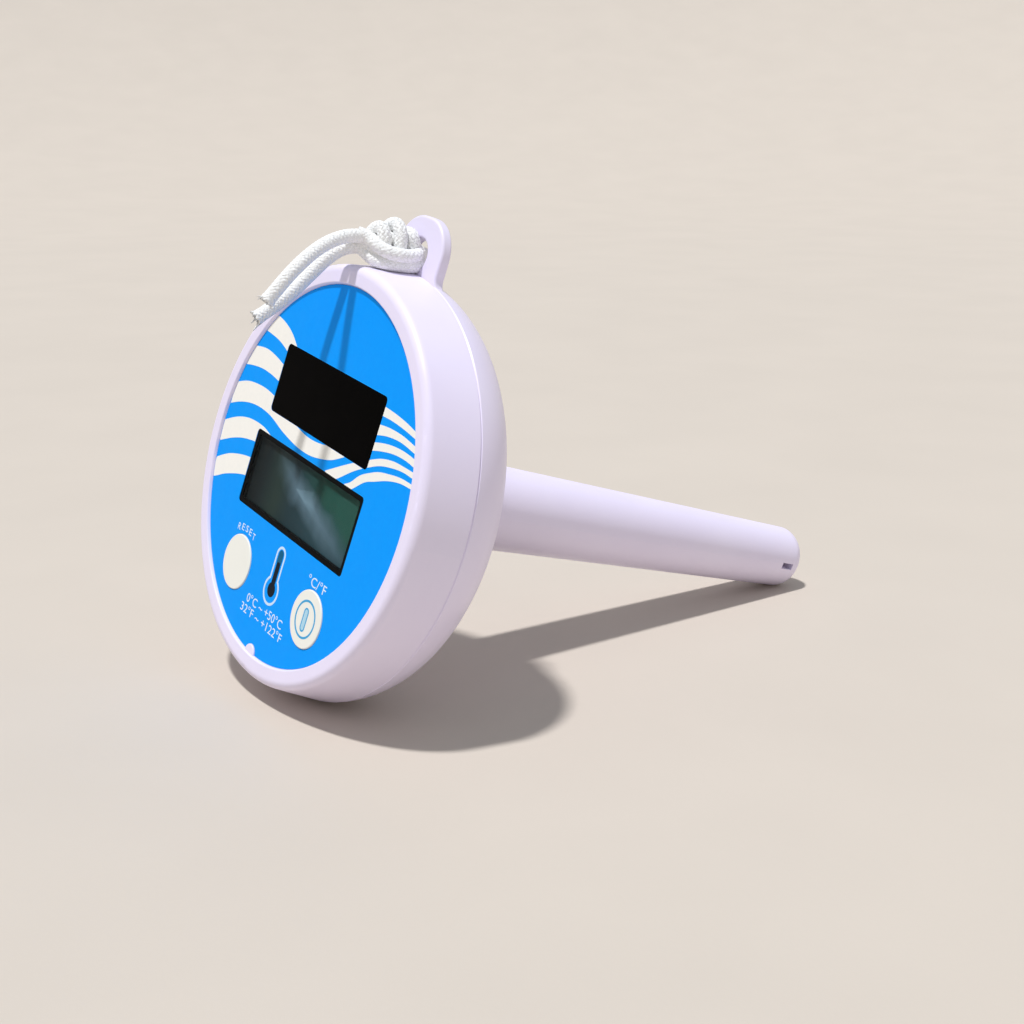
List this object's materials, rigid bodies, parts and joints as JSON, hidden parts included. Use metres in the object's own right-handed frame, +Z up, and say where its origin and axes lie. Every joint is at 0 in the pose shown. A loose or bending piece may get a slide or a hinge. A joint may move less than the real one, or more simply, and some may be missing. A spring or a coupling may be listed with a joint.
{
  "type": "floating pool thermometer",
  "caption": "Round solar thermometer head with display and push buttons on a tapered ballasted stem, with a braided tether knotted to its lug.",
  "frame": {"origin": "centre of the base of the resting object, on the surface it lies on", "axes": "+Z up, +Y level and along the stem's heading towards its tip, +X level, towards the reader's right of the face"},
  "size_m": [0.108, 0.1816, 0.117],
  "materials": {
    "housing_white": "moulded ABS, white with a faint lavender cast, satin gloss",
    "label_print": "printed film, azure blue with off-white waves, under a clear gloss",
    "button_white": "off-white key caps, satin",
    "seal_rubber": "nitrile O-rings, matt",
    "solar_glass": "black-backed glass, polished",
    "solar_cell": "amorphous silicon, dark brown",
    "lcd_frame_black": "moulded black frame, satin",
    "lcd_clear": "clear acrylic window, polished",
    "lcd_cell": "liquid crystal cell, dark green-grey",
    "zebra_rubber": "layered silicone connector",
    "board_green": "glass-epoxy board with green solder mask",
    "resin_black": "chip-on-board resin",
    "steel_bright": "nickel-plated steel",
    "switch_black": "glass-filled nylon",
    "holder_black": "insulating tray",
    "ballast_steel": "turned mild steel",
    "foam_grey": "closed-cell foam",
    "sensor_resin": "epoxy-dipped thermistor bead",
    "lead_red": "PVC insulation, red",
    "lead_black": "PVC insulation, black",
    "cord_white": "braided polyester cord, white, cut ends frayed"
  },
  "bodies": {
    "housing": {"ballast_plug": "foam_grey", "ballast_weight": "ballast_steel", "board_screws": "steel_bright", "case_screws": "steel_bright", "case_seal": "seal_rubber", "cell_clip": "steel_bright", "cell_holder": "holder_black", "circuit_board": "board_green", "clock_crystal": "steel_bright", "coin_cell": "steel_bright", "controller_chip": "resin_black", "face_label": "label_print", "front_housing": "housing_white", "lcd_frame": "lcd_frame_black", "lcd_panel": "lcd_cell", "lcd_window": "lcd_clear", "probe_sleeve": "steel_bright", "rear_housing": "housing_white", "reset_switch": "switch_black", "sensor_lead_left": "lead_black", "sensor_lead_right": "lead_red", "solar_cell": "solar_cell", "solar_cover": "solar_glass", "solar_lead_left": "lead_black", "solar_lead_right": "lead_red", "stem_tube": "housing_white", "temperature_sensor": "sensor_resin", "tether_knot": "cord_white", "tether_loop": "cord_white", "tether_tail_lower": "cord_white", "tether_tail_upper": "cord_white", "tip_cap": "housing_white", "unit_switch": "switch_black", "zebra_strips": "zebra_rubber"},
    "reset_key": {"reset_button": "button_white", "reset_button_seal": "seal_rubber", "reset_plunger": "switch_black"},
    "unit_key": {"unit_button": "button_white", "unit_button_seal": "seal_rubber", "unit_plunger": "switch_black"}
  },
  "joints": [
    {"name": "reset_press", "type": "slide", "parent": "housing", "child": "reset_key", "axis": [0, 0.9599, -0.2803], "range_m": [0, 0.0005], "stiffness_N_per_m": 1500},
    {"name": "unit_press", "type": "slide", "parent": "housing", "child": "unit_key", "axis": [0, 0.9599, -0.2803], "range_m": [0, 0.0005], "stiffness_N_per_m": 1500}
  ]
}
